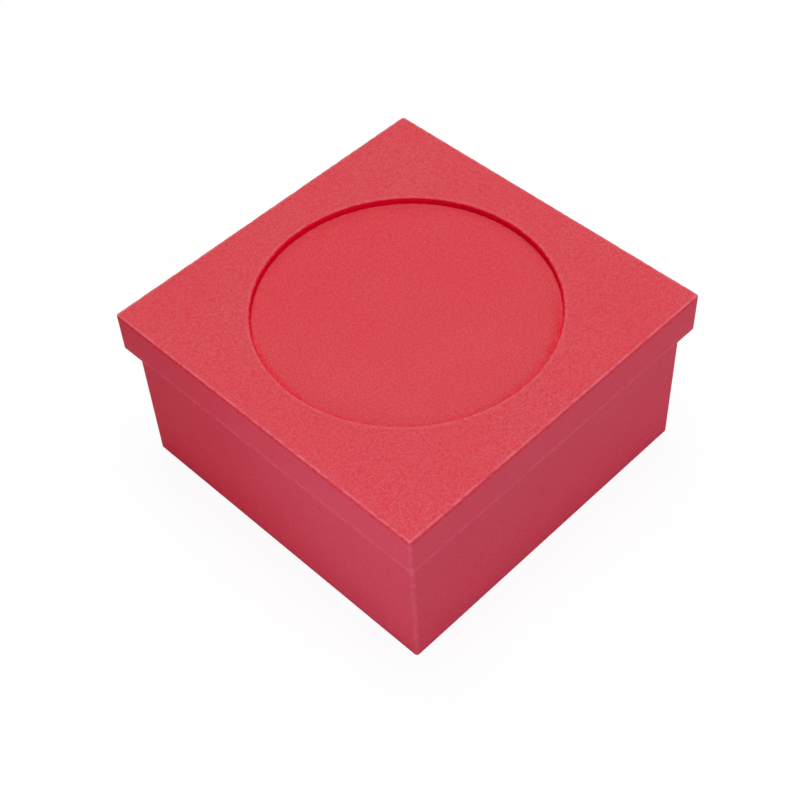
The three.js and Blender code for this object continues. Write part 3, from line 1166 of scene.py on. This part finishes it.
class SetStudio(bpy.types.Operator):
    """Sets up the floor, the light and the camera"""

    bl_idname = "keepsake_box.studio"
    bl_label = "Studio"

    def execute(self, context):
        scene = context.scene
        studio = scene.box_studio
        scene.view_settings.view_transform = "Standard"
        self.light_room(scene, studio)
        self.lay_floor(scene, studio)
        for name, lamp in LAMPS.items():
            self.hang_lamp(scene, name, lamp, getattr(studio, lamp.power))
        self.place_camera(scene, studio)
        return {"FINISHED"}

    def light_room(self, scene, studio):
        """Even room light, with a white background for what the camera sees."""
        world = bpy.data.worlds.new("white_room")
        world.use_nodes = True
        scene.world = world
        tree = world.node_tree
        tree.nodes.clear()
        seen = self.seen_rays(tree)
        room = add_node(tree, "ShaderNodeBackground", {"Color": WHITE, "Strength": studio.room})
        white = add_node(tree, "ShaderNodeBackground", {"Color": WHITE, "Strength": 1.0})
        mixed = add_node(tree, "ShaderNodeMixShader", {
            0: seen, 1: room.outputs[0], 2: white.outputs[0]})
        add_node(tree, "ShaderNodeOutputWorld", {"Surface": mixed.outputs[0]})

    def seen_rays(self, tree):
        """1 for rays that show the background to the camera, directly, mirrored or through glass."""
        path = add_node(tree, "ShaderNodeLightPath")
        mirrored = add_node(tree, "ShaderNodeMath", {
            0: path.outputs["Is Camera Ray"], 1: path.outputs["Is Glossy Ray"]}, operation="MAXIMUM")
        seen = add_node(tree, "ShaderNodeMath", {
            0: mirrored.outputs[0], 1: path.outputs["Is Transmission Ray"]}, operation="MAXIMUM")
        return seen.outputs[0]

    def lay_floor(self, scene, studio):
        """A pale floor that the camera sees as white, with the box's own shadow on it.

        Part of the white near the box comes from the lamps, so that a shadow can take it away.
        """
        bm = bmesh.new()
        bmesh.ops.create_grid(bm, x_segments=FLOOR_STEPS, y_segments=FLOOR_STEPS, size=FLOOR_HALF)
        bmesh.ops.translate(bm, vec=(0, 0, -FLOOR_GAP), verts=bm.verts)
        mesh = bpy.data.meshes.new("floor")
        bm.to_mesh(mesh)
        bm.free()
        floor = bpy.data.objects.new("floor", mesh)
        scene.collection.objects.link(floor)
        material, tree = new_material("white_card_floor")
        mesh.materials.append(material)
        seen = self.seen_rays(tree)
        place = add_node(tree, "ShaderNodeTexCoord").outputs["Object"]
        distance = add_node(tree, "ShaderNodeVectorMath", {0: place}, operation="LENGTH")
        past_shadow = add_node(tree, "ShaderNodeMapRange", {
            "Value": distance.outputs["Value"],
            "From Min": SHADOW_REACH[0], "From Max": SHADOW_REACH[1]}, interpolation_type="SMOOTHSTEP")
        card = add_node(tree, "ShaderNodeBsdfDiffuse", {"Color": rgba(studio.floor)})
        shaded = add_node(tree, "ShaderNodeBsdfDiffuse", {"Color": rgba([SHADOW_SHARE] * 3)})
        glow = add_node(tree, "ShaderNodeEmission", {
            "Color": WHITE, "Strength": 1 - SHADOW_SHARE * FLOOR_LIGHT})
        near = add_node(tree, "ShaderNodeAddShader", {0: shaded.outputs[0], 1: glow.outputs[0]})
        white = add_node(tree, "ShaderNodeEmission", {"Color": WHITE, "Strength": 1.0})
        shown = add_node(tree, "ShaderNodeMixShader", {
            0: past_shadow.outputs[0], 1: near.outputs[0], 2: white.outputs[0]})
        mixed = add_node(tree, "ShaderNodeMixShader", {
            0: seen, 1: card.outputs[0], 2: shown.outputs[0]})
        add_node(tree, "ShaderNodeOutputMaterial", {"Surface": mixed.outputs[0]})

    def hang_lamp(self, scene, name, lamp, power):
        """A square lamp at its place, facing the middle of the box and out of the camera's sight."""
        light = bpy.data.lights.new(name, "AREA")
        light.shape = "SQUARE"
        light.size = lamp.width
        light.color = lamp.tint
        light.energy = power
        holder = bpy.data.objects.new(name, light)
        holder.location = lamp.place
        holder.rotation_mode = "QUATERNION"
        towards = Vector((0.0, 0.0, LID_TOP / 2)) - holder.location
        holder.rotation_quaternion = towards.to_track_quat("-Z", "Y")
        holder.visible_camera = False
        scene.collection.objects.link(holder)

    def place_camera(self, scene, studio):
        """The camera above the box's front left corner."""
        lens = bpy.data.cameras.new("camera")
        lens.sensor_width = SENSOR_WIDTH
        lens.lens = studio.lens
        lens.clip_start, lens.clip_end = SIGHT
        camera = bpy.data.objects.new("camera", lens)
        turn = studio.azimuth
        level = math.cos(studio.elevation)
        back = Vector((math.sin(turn) * level, -math.cos(turn) * level, math.sin(studio.elevation)))
        camera.location = Vector(studio.aim) + back * studio.distance
        camera.rotation_mode = "QUATERNION"
        aimed = (-back).to_track_quat("-Z", "Y")
        camera.rotation_quaternion = aimed @ Quaternion((0, 0, 1), studio.roll)
        scene.collection.objects.link(camera)
        scene.camera = camera


class KeepsakeBoxPanel(bpy.types.Panel):
    """Lists the pieces of the box and its settings"""

    bl_idname = "VIEW3D_PT_keepsake_box"
    bl_label = "Keepsake box"
    bl_space_type = "VIEW_3D"
    bl_region_type = "UI"
    bl_category = "Keepsake box"

    def draw(self, context):
        scene = context.scene
        for operator in OPERATORS:
            self.layout.operator(operator.bl_idname)
        for settings in (scene.box_sizes, scene.box_finish, scene.box_studio):
            column = self.layout.column()
            for name in settings.__annotations__:
                column.prop(settings, name)


SETTINGS = {"box_sizes": BoxSizes, "box_finish": BoxFinish, "box_studio": Studio}
OPERATORS = (MakeBasePanel, MakeWalls, MakeRims, MakeLidPanel, MakeFaceBoard, DressPins, SetStudio)


def register():
    """Registers the settings, operators and panel."""
    for cls in (*SETTINGS.values(), *OPERATORS, KeepsakeBoxPanel):
        bpy.utils.register_class(cls)
    for name, cls in SETTINGS.items():
        setattr(bpy.types.Scene, name, PointerProperty(type=cls))


def unregister():
    """Takes the settings, operators and panel away again."""
    for name in SETTINGS:
        delattr(bpy.types.Scene, name)
    for cls in reversed((*SETTINGS.values(), *OPERATORS, KeepsakeBoxPanel)):
        bpy.utils.unregister_class(cls)


def main():
    """Builds every piece and the studio."""
    register()
    bpy.ops.keepsake_box.base_panel()
    bpy.ops.keepsake_box.walls()
    bpy.ops.keepsake_box.rims()
    bpy.ops.keepsake_box.lid_panel()
    bpy.ops.keepsake_box.face_board()
    bpy.ops.keepsake_box.pins()
    bpy.ops.keepsake_box.studio()


if __name__ == "__main__":
    main()
